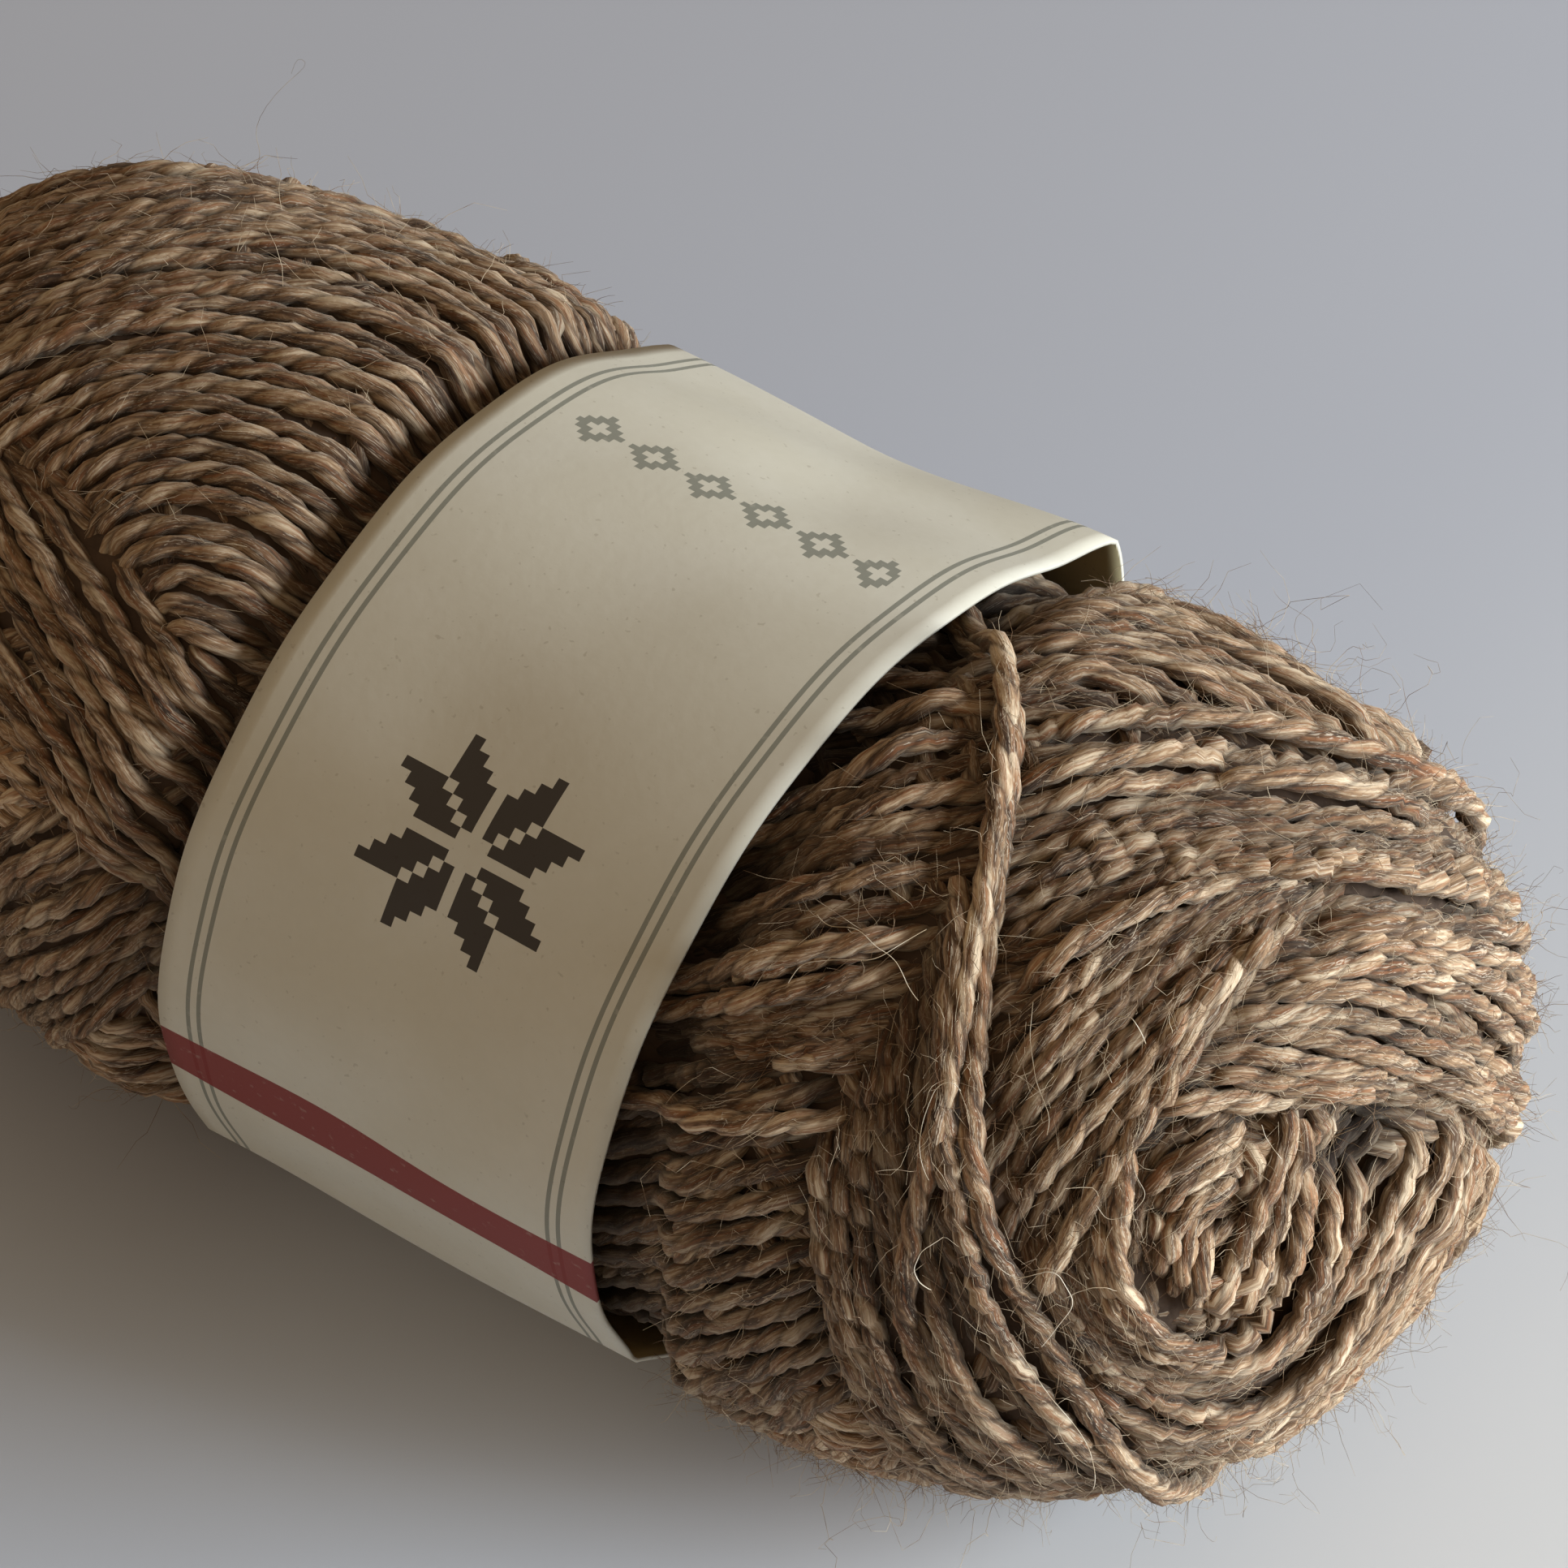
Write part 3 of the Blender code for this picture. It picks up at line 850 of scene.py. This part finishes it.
def spinYarn(name, chosen, material, chance):
    s = Shaper('spunYarn', ply, material)
    curve = s.node('GeometryNodeMeshToCurve', values={'Mesh': s.size('Geometry')})
    gone, tone = s.attribute('gone'), s.attribute('tone')
    drift = s.noise(s.joined(gone*s.size('twistNoise'), tone*70.0), 1.0, 1.0)
    tilt = gone*(2*math.pi)/s.size('twistLength')+(drift-0.5)*2.0*s.size('unevenTwist')
    turned = s.node('GeometryNodeSetCurveTilt', values={'Curve': curve, 'Tilt': tilt})
    # a ring pulled out into the outline of two plies side by side
    place = s.place()
    x, y = s.parts(place)[:2]
    offset, radius = s.size('offset'), s.size('radius')
    out = offset*x.unsigned()+(radius*radius-(offset*y)*(offset*y)).root()
    ring = s.node('GeometryNodeStoreNamedAttribute', dict(data_type='FLOAT_VECTOR', domain='POINT'),
                  {'Geometry': s.ring(s.size('sides'), 1.0), 'Name': 'lobe', 'Value': place})
    lobes = s.moved(ring, Position=s.scaled(place, out))
    swelling = s.noise(s.joined(gone*s.size('thickNoise'), tone*40.0), 1.0, 2.0)
    thick = 1.0+s.size('thickAndThin')*(swelling-0.5)*2.0
    tube = s.tube(turned, lobes, thick, True)
    lumps = s.noise(s.place(), s.size('lumpScale'), 1.0)
    away = s.scaled(s.node('GeometryNodeInputNormal'), (lumps-0.5)*2.0*s.size('lumps'))
    return s.shape(runEdges(name+'Runs', chosen, chance), s.moved(tube, Offset=away), name)


heather = dict(
    fleece=((0.33, colour(60, 43, 31)), (0.43, colour(102, 76, 55)), (0.53, colour(162, 129, 96)),
            (0.65, colour(222, 198, 165))),
    # fibres of another colour: how many round and along, shift and detail of their noise, from and to, share, colour
    fibres=((2.4, 190.0, 7.3, 2.0, 0.50, 0.66, 0.55, colour(148, 92, 54)),
            (2.2, 150.0, 13.1, 2.0, 0.58, 0.74, 0.28, colour(112, 98, 86)),
            (7.0, 300.0, 23.7, 2.0, 0.56, 0.68, 0.36, colour(48, 34, 25)),
            (10.0, 330.0, 31.9, 3.0, 0.54, 0.66, 0.60, colour(222, 205, 180))),
    fleeceNoise=(2.2, 260.0, 0.0), fleeceShare=0.62, plyNoise=150.0, plyShare=0.55, fleeceShift=0.085,
    grooveShadeWidth=0.50, grooveShadeShare=0.50, grooveShade=colour(44, 31, 23), flankFrom=-0.10, flankTo=0.72, flankShare=0.50,
    mostShade=0.95, shade=colour(24, 16, 11), bumpNoise=(9.0, 500.0, 41.3, 2.0, 0.6), bump=0.45, bumpDepth=0.00016,
    sheenTint=(1.0, 0.84, 0.64, 1))


def heatherWool(h):
    f = Finish('heather wool')
    gone, lobe, tone = f.attribute('gone', 2), f.attribute('lobe', 1), f.attribute('tone', 2)
    spin = {'Vector': lobe, 'Angle': gone*(0.8*2*math.pi/ply['twistLength'])}
    round1, round2 = f.parts(f.node('ShaderNodeVectorRotate', dict(rotation_type='Z_AXIS'), spin))[:2]

    def streaks(around, along, shift, detail=2.0, roughness=0.5):
        spot = f.joined(round1*around+shift, round2*around+tone*17.0, gone*along+tone*31.0)
        return f.noise(spot, 1.0, detail, roughness)

    side = f.parts(lobe)[0]
    drift = f.noise(f.joined((side > 0)*9.0+tone*57.0, gone*h['plyNoise']), 1.0, 3.0)
    fleece = streaks(*h['fleeceNoise'])*h['fleeceShare']+drift*h['plyShare']-h['fleeceShift']
    c = f.node('ShaderNodeValToRGB', dict(stops=h['fleece']), {'Fac': fleece})
    for around, along, shift, detail, low, high, share, tint in h['fibres']:
        c = f.mix(streaks(around, along, shift, detail).ramp(low, high)*share, c, tint)
    # painted shade: darker in the groove between the two plies
    c = f.mix((1-side.unsigned().ramp(0.0, h['grooveShadeWidth']))*h['grooveShadeShare'], c, h['grooveShade'])
    # the flanks of a strand and the lower layers lie in their neighbours' shade
    top = f.dot(f.node('ShaderNodeNewGeometry', out=1), f.attribute('out', 1))
    flank = 1-top.ramp(h['flankFrom'], h['flankTo'])
    c = f.mix((flank*h['flankShare']+f.attribute('deep', 2)).least(h['mostShade']), c, h['shade'])
    bump = f.bump(streaks(*h['bumpNoise']), h['bump'], h['bumpDepth'])
    return f.set(Base_Color=c, Roughness=0.82, Normal=bump, Sheen_Weight=0.22, Sheen_Roughness=0.5,
                 Sheen_Tint=h['sheenTint'], Specular_IOR_Level=0.22)


def declareWool(piece):
    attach(piece, 'root')
    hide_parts('wound_yarn')


turnNames = ('first_turns', 'middle_turns', 'outer_turns', 'last_turns')


def makeTurns(chosen, wool):
    chance = np.random.default_rng(11)
    ends = np.cumsum([len(r['place']) for r in chosen])
    count = len(turnNames)
    for k, name in enumerate(turnNames):
        share = [r for r, end in zip(chosen, ends) if k/count < end/ends[-1] <= (k+1)/count]
        declareWool(spinYarn(name, share, wool, chance))


makeTurns(runs, heatherWool(heather))
print('yarn spun')


# fibres that stand off the yarn; all of them start on strands that show, clear of the band
lying = dict(lengths=(0.0020, 0.0048), lift=(0.02, 0.16), scatter=0.16, segments=4, curl=0.40, curlScale=420.0)
nap = dict(lengths=(0.0010, 0.0028), lift=(0.0, 0.30), scatter=0.30, segments=4, curl=1.0, curlScale=1100.0)
fuzz = dict(radius=0.000019, bandGap=0.0012, lowest=0.004, alongShare=(0.3, 1.0), lengthShare=(0.6, 1.0), root=0.0005,
            sway=2.2, taper=0.6,
            box=((-0.0575, -0.0325, 0.0004), (0.0575, 0.0325, 0.0565)),
            thickPlace=(1400, 1340), thickWidth=0.010, thickShare=2.0,       # they stand thickest round this pixel of the photo
            kinds=(dict(lying, name='lying_fibres', count=6600, half=1.0),
                   dict(lying, name='far_lying_fibres', count=2400, half=-1.0),
                   dict(nap, name='near_fuzz', count=2300, half=1.0),
                   dict(nap, name='far_fuzz', count=1000, half=-1.0),
                   dict(name='curly_hairs', count=420, half=1.0, lengths=(0.0040, 0.0085), lift=(0.02, 0.32),
                        scatter=0.45, segments=16, curl=0.85, curlScale=480.0),
                   dict(name='stray_hairs', count=16, half=0.0, lengths=(0.009, 0.016), lift=(0.05, 0.35),
                        scatter=0.45, segments=36, curl=0.60, curlScale=240.0)))


def fibreRoots(runs, kind, chance):
    # where each fibre starts, which way it goes, how long it is
    long = [r for r in runs if len(r['place']) > 8]
    place = np.concatenate([r['place'][2:-2] for r in long])
    along = np.concatenate([np.gradient(r['place'], axis=0)[2:-2] for r in long])
    out = np.concatenate([r['out'][2:-2] for r in long])
    count, lengths = kind['count'], kind['lengths']
    clear = np.maximum(band['back']-place[:, 0], place[:, 0]-band['front'])-fuzz['bandGap']-0.5*lengths[1]
    allowed = np.flatnonzero((clear > 0) & (place[:, 2] > fuzz['lowest']) & (kind['half']*place[:, 0] >= 0))
    thick = seat(underPixels([fuzz['thickPlace']]))
    weight = 1+fuzz['thickShare']*bellRound(place[allowed], thick, fuzz['thickWidth'])
    picked = chance.choice(allowed, count, p=weight/weight.sum())
    along = unit(along[picked])*chance.choice((-1.0, 1.0), (count, 1))
    scatter = chance.normal(0, kind['scatter'], (count, 3))
    aim = along*chance.uniform(*fuzz['alongShare'], (count, 1))
    aim += out[picked]*chance.uniform(*kind['lift'], (count, 1))
    length = chance.uniform(*lengths, count)*chance.uniform(*fuzz['lengthShare'], count)
    return place[picked]+out[picked]*fuzz['root'], unit(aim+scatter), length


def growFibres(kind, roots, material):
    name, (place, aim, length) = kind['name'], roots
    sizes = dict(radius=fuzz['radius'], sway=fuzz['sway'], curl=kind['curl'], curlScale=kind['curlScale'])
    s = Shaper('fibres', dict(sizes, points=kind['segments']+1), material)
    line = s.node('GeometryNodeCurvePrimitiveLine', values={'Start': (0, 0, 0), 'End': (0, 0, 1)})
    line = s.node('GeometryNodeResampleCurve', values={'Curve': line, 'Count': s.size('points')})
    aimed = s.node('FunctionNodeAlignRotationToVector', values={'Vector': s.attribute('aim', 'FLOAT_VECTOR')})
    points = s.node('GeometryNodeMeshToPoints', values={'Mesh': s.size('Geometry')})
    rooted = s.node('GeometryNodeInstanceOnPoints', values={'Points': points, 'Instance': line, 'Rotation': aimed,
                                                            'Scale': s.attribute('length')})
    free = s.node('GeometryNodeRealizeInstances', values={'Geometry': rooted})
    factor = s.node('GeometryNodeSplineParameter')
    swirl = s.vector('SUBTRACT', s.noise(s.place(), s.size('curlScale'), 1.0, out=1), (0.5, 0.5, 0.5))
    curly = s.moved(free, Offset=s.scaled(swirl, factor*s.size('curl')*s.attribute('length')*s.size('sway')))
    low, high = fuzz['box']
    curly = s.moved(curly, Position=s.vector('MINIMUM', s.vector('MAXIMUM', s.place(), low), high))
    hair = s.tube(curly, s.ring(3, s.size('radius')), 1.0-fuzz['taper']*factor, False)
    carrier = linkNew(name+'Roots', pointMesh(name+'Roots', place, dict(aim=aim), dict(length=length)))
    return s.shape(carrier, hair, name)


def fibreWool(name, dark, light):
    f = Finish(name)
    spot = f.noise(f.place(), 700.0, 1.0)
    return f.set(Base_Color=f.mix(spot.ramp(0.40, 0.60), dark, light), Roughness=0.6, Specular_IOR_Level=0.3)


# the long pale hairs that lie loose over the near end: photo pixels, one hair a line
strays = dict(radius=0.000024, lift=0.0016, points=48, paths='''
1013,1130 1025,1145 1040,1151 1060,1150 1078,1160 1090,1175 1110,1185 1120,1200 1128,1222 1140,1238
1190,1345 1182,1330 1165,1333 1158,1350 1150,1375 1146,1400 1148,1425 1155,1448
1240,1643 1262,1670 1285,1700 1305,1722 1320,1735 1340,1760 1348,1790 1345,1815
1361,1195 1375,1203 1395,1207 1412,1195 1425,1175
1372,1255 1390,1258 1402,1275 1410,1288
980,1215 1000,1190 1040,1188 1090,1190 1120,1170 1150,1150
1170,1515 1148,1525 1140,1545 1145,1565 1155,1580
1225,1560 1250,1578 1280,1570 1300,1565 1315,1590 1325,1610 1305,1635 1280,1668
1310,1612 1325,1598 1345,1590 1365,1593 1380,1606
1637,1228 1641,1245 1636,1260 1630,1270
1571,1390 1573,1405 1585,1422 1600,1437
1600,1352 1630,1352 1645,1368 1643,1388
1372,1150 1385,1140 1398,1150 1390,1168 1374,1160
1340,1290 1352,1275 1365,1285 1358,1310 1370,1335
1275,1235 1272,1280 1280,1330 1296,1375 1290,1400
1395,1420 1400,1450 1415,1475 1395,1500 1365,1510 1350,1490''')


def drawStrays(name, s, material):
    carriers = []
    for path in pixelPaths(s['paths']):
        p = onSkin(smoothPath(evenPath(underPixels(path), s['points'])))
        lift = s['lift']*(0.65+0.5*np.sin(np.linspace(0, math.pi, s['points'])))
        carriers.append(dict(place=yarnPlace(p, lift), out=outward(p), gone=np.arange(s['points'])*0.001, deep=0*lift))
    made = Shaper('looseHair', dict(radius=s['radius']), material)
    curve = made.node('GeometryNodeMeshToCurve', values={'Mesh': made.size('Geometry')})
    hair = made.tube(curve, made.ring(3, made.size('radius')), 1.0, True)
    return made.shape(runEdges(name+'Runs', carriers, np.random.default_rng(5)), hair, name)


def makeFuzz(runs):
    chance = np.random.default_rng(23)
    brown = fibreWool('loose fibres', colour(122, 92, 64), colour(198, 178, 148))
    pale = fibreWool('pale hairs', colour(186, 164, 132), colour(226, 212, 188))
    pieces = [growFibres(kind, fibreRoots(runs, kind, chance), brown) for kind in fuzz['kinds']]
    for piece in pieces+[drawStrays('loose_hairs', strays, pale)]:
        declareWool(piece)


makeFuzz(runs)
print('fuzz grown')


# the inner wool that shows between the strands, coloured darker than the strands as painted shade in the gaps; raised:
# photo pixel, rise, half width
core = dict(depth=0.0012, farDepth=0.0007, lowest=0.0004, rings=72, segments=72,
            raised=(((1793, 1003), 0.0005, 0.0032), ((1520, 1558), 0.0006, 0.0018)))


def coreWool():
    f = Finish('inner wool')
    soft = f.noise(f.place(), 900.0, 3.0)
    # painted shade: the inner wool is darker brown than the strands, for the shade that falls between them
    return f.set(Base_Color=f.mix(soft, colour(46, 33, 24), colour(90, 69, 51)), Roughness=0.95,
                 Normal=f.bump(soft, 0.6, 0.0003))


def makeCore(c):
    count = c['segments']
    lengths = np.linspace(-poleLength, poleLength, c['rings']+1)[1:-1]
    turn = np.arange(count)*2*math.pi/count
    x, radius = skinAt(lengths)
    side = wrapped(np.repeat(x, count), radius[:, None], turn)
    p = np.vstack((side, [[-ball['halfLength'], 0, 1e-6], [ball['halfLength'], 0, 1e-6]]))
    height = -np.where(p[:, 0] > band['front'], c['depth'], c['farDepth'])
    for pixel, rise, wide in c['raised']:
        height += rise*bellRound(p, underPixels([pixel]), wide)
    place = yarnPlace(p, height)
    place[:, 2] = np.maximum(place[:, 2], c['lowest'])
    lastRing = (len(lengths)-1)*count
    pairs = [(k, (k+1) % count) for k in range(count)]
    faces = [(ring+a, ring+count+a, ring+count+b, ring+b) for ring in range(0, lastRing, count) for a, b in pairs]
    for a, b in pairs:
        faces += [(len(side), a, b), (lastRing+b, lastRing+a, len(side)+1)]
    mesh = bpy.data.meshes.new('inner_wool')
    mesh.from_pydata(place.tolist(), [], faces)
    mesh.shade_smooth()
    mesh.materials.append(coreWool())
    declareWool(linkNew('inner_wool', mesh))


makeCore(core)
print('inner wool made')


# the paper band; a dent is its angle, place across, depth, half width across and round
paper = dict(segments=240, rows=28, creaseHeight=0.0009, creases=(33*degree, 213*degree), flare=0.0013, flareFrom=0.45,
             flareWidth=13*degree, lap=291*degree, lapWidth=0.009, lapStep=0.0003, lapFrom=0.02, lapOver=0.04,
             lowest=0.0003, ripple=0.00020,
             dents=((118, 0.35, 0.0004, 0.0060, 13), (150, 0.60, 0.0004, 0.0050, 12), (95, 0.5, 0.0003, 0.0070, 13),
                    (60, 0.6, 0.0004, 0.0050, 12), (185, 0.4, 0.0003, 0.0060, 14), (250, 0.5, 0.0003, 0.0080, 20),
                    (330, 0.4, 0.0003, 0.0070, 18)))
# the print, in metres along and across the strip: an eight-petal knitting star, a row of small diamonds, thin rules, a stripe
inks = dict(star=(0.0860, 0.0150), cell=0.00068, petal=4, starInk=colour(44, 34, 27), starShare=0.95,
            rules=(0.0020, 0.0027, 0.0256, 0.0263), ruleWidth=0.00028, ruleInk=colour(104, 106, 94), ruleShare=0.75,
            diamonds=0.0600, diamondCell=0.00045, diamondStep=0.0036, diamondsFrom=0.0040, diamondsTo=0.0243,
            stripe=0.1085, stripeWidth=0.0042, stripeInk=colour(128, 34, 32), stripeShare=0.94)
bandWidth = band['front']-band['back']


def bandRadius(angle, share):
    reachAngle = math.acos(band['radius']/(band['radius']+paper['creaseHeight']))
    radius = np.full_like(angle, band['radius'])
    for crease in paper['creases']:
        away = np.abs(angleFrom(angle, crease))
        radius = np.maximum(radius, band['radius']/np.cos(np.maximum(reachAngle-away, 0)))
    # the front edge stands off at the upper fold
    away = angleFrom(angle, paper['creases'][0])
    flare = paper['flare']*smoothStep((share-paper['flareFrom'])/(1-paper['flareFrom']))
    return radius+flare*bell(away, paper['flareWidth'])


def printOn(f, c, pulp):
    u, v = f.parts(f.node('ShaderNodeUVMap', dict(uv_map='flat')))[:2]
    worn = 1-pulp.ramp(0.60, 0.74)*0.20

    def cells(distance, cell):
        return (distance/cell+0.5).floor()

    across, up = (cells((w-middle).unsigned(), inks['cell']) for w, middle in zip((u, v), inks['star']))
    low, high, petal = across.least(up), across.most(up), inks['petal']+0.5
    star = (low > 0.5)*(low < petal)*(high-low > 0.5)*(high-low < petal)
    c = f.mix(star*inks['starShare'], c, inks['starInk'])
    rules = 0.0
    for line in inks['rules']:
        rules = ((v-line).unsigned() < inks['ruleWidth']/2)+rules
    c = f.mix(rules*worn*inks['ruleShare'], c, inks['ruleInk'])
    row = ((v/inks['diamondStep']).fraction()-0.5).unsigned()*inks['diamondStep']
    steps = cells(row, inks['diamondCell'])+cells((u-inks['diamonds']).unsigned(), inks['diamondCell'])
    diamonds = (steps < 3.5)*(steps > 1.5)*(v > inks['diamondsFrom'])*(v < inks['diamondsTo'])
    c = f.mix(diamonds*worn*inks['ruleShare'], c, inks['ruleInk'])
    stripe = (u-inks['stripe']).unsigned() < inks['stripeWidth']/2
    return f.mix(stripe*worn*inks['stripeShare'], c, inks['stripeInk'])


def bandPaper(name, tint, printed):
    f = Finish(name)
    place = f.place()
    pulp = f.noise(place, 1500.0, 4.0)
    cloud = f.noise(place, 120.0, 2.0)
    fleck = f.noise(place, 2600.0, 1.0).ramp(0.70, 0.78)
    c = f.mix(cloud.ramp(0.35, 0.65)*0.35, tint, colour(198, 190, 168))
    c = f.mix(pulp*0.16, c, colour(168, 158, 136))
    c = f.mix(fleck*0.30, c, colour(140, 126, 100))
    if printed:
        c = printOn(f, c, pulp)
    return f.set(Base_Color=c, Roughness=0.72, Normal=f.bump(pulp, 0.25, 0.00005), Specular_IOR_Level=0.35)


def makeBand(p):
    turn = p['lap']+np.linspace(0, 2*math.pi+p['lapWidth']/band['radius'], p['segments']+1)
    angle, share = np.meshgrid(turn, np.linspace(0, 1, p['rows']+1), indexing='ij')
    radius = bandRadius(angle, share)+p['ripple']*np.sin(angle*9+share*3)*np.sin(share*4.5+angle*4+1)
    for where, at, deep, long, wide in p['dents']:
        away = angleFrom(angle, where*degree)/(wide*degree)
        radius = radius-deep*np.exp(-away**2-((share-at)*bandWidth/long)**2)
    radius = radius+p['lapStep']*smoothStep((angle-turn[0]-2*math.pi+p['lapFrom'])/p['lapOver'])
    x = band['back']+bandWidth*share+band['skew']*np.cos(angle)
    place = seat(wrapped(x, radius, angle))
    place[:, 2] = np.maximum(place[:, 2], p['lowest'])
    rows = p['rows']+1
    faces = [(i*rows+j, (i+1)*rows+j, (i+1)*rows+j+1, i*rows+j+1) for i in range(p['segments']) for j in range(p['rows'])]
    mesh = bpy.data.meshes.new('paper_strip')
    mesh.from_pydata(place.tolist(), [], faces)
    flat = np.column_stack(((angle-turn[0]).ravel()*band['radius'], share.ravel()*bandWidth))
    corners = np.array([corner.vertex_index for corner in mesh.loops])
    mesh.uv_layers.new(name='flat').data.foreach_set('uv', flat[corners].astype(np.float32).ravel())
    mesh.shade_smooth()
    mesh.materials.append(bandPaper('band paper', colour(209, 203, 186), True))
    # painted light: the inside is coloured paler and yellower than the outside, for light that shines through the thin
    # paper
    mesh.materials.append(bandPaper('inside of the paper', colour(232, 210, 148), False))
    piece = linkNew('paper_strip', mesh)
    wall = piece.modifiers.new('paper thickness', 'SOLIDIFY')
    wall.thickness = band['thickness']
    wall.offset = -1.0
    wall.material_offset = 1
    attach(piece, 'root')
    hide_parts('paper_band')


makeBand(paper)
print('band wrapped')
